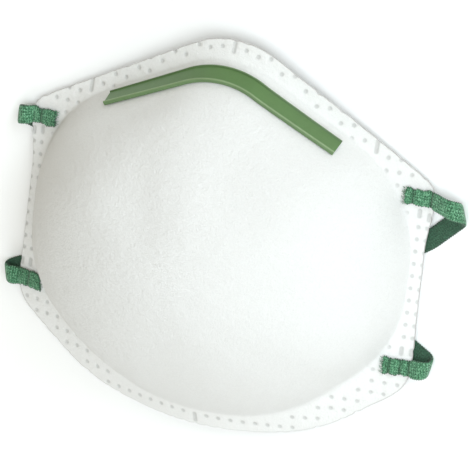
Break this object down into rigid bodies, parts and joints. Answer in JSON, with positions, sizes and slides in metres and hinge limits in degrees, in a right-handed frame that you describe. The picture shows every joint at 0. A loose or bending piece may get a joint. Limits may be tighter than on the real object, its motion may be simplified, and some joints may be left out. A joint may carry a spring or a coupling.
{
  "type": "moulded dust mask",
  "caption": "Disposable moulded dust mask: a domed nonwoven cup with a flat welded flange, a plastic nose clip and flat elastic head straps folded under it.",
  "frame": {"origin": "middle of the whole part's bounding box in plan, on the surface that the mask lies on", "axes": "+X to the wearer's left, +Y from the chin to the nose, +Z from the face outwards"},
  "size_m": [0.1522, 0.1274, 0.0501],
  "materials": {
    "nonwoven": "matt moulded needle felt with a fine fibrous grain",
    "clip_plastic": "satin extruded plastic",
    "elastic": "knitted elastic braid"
  },
  "bodies": {
    "root": {"mask_body": "nonwoven", "nose_clip": "clip_plastic", "upper_head_strap": "elastic", "lower_head_strap": "elastic"}
  },
  "joints": []
}
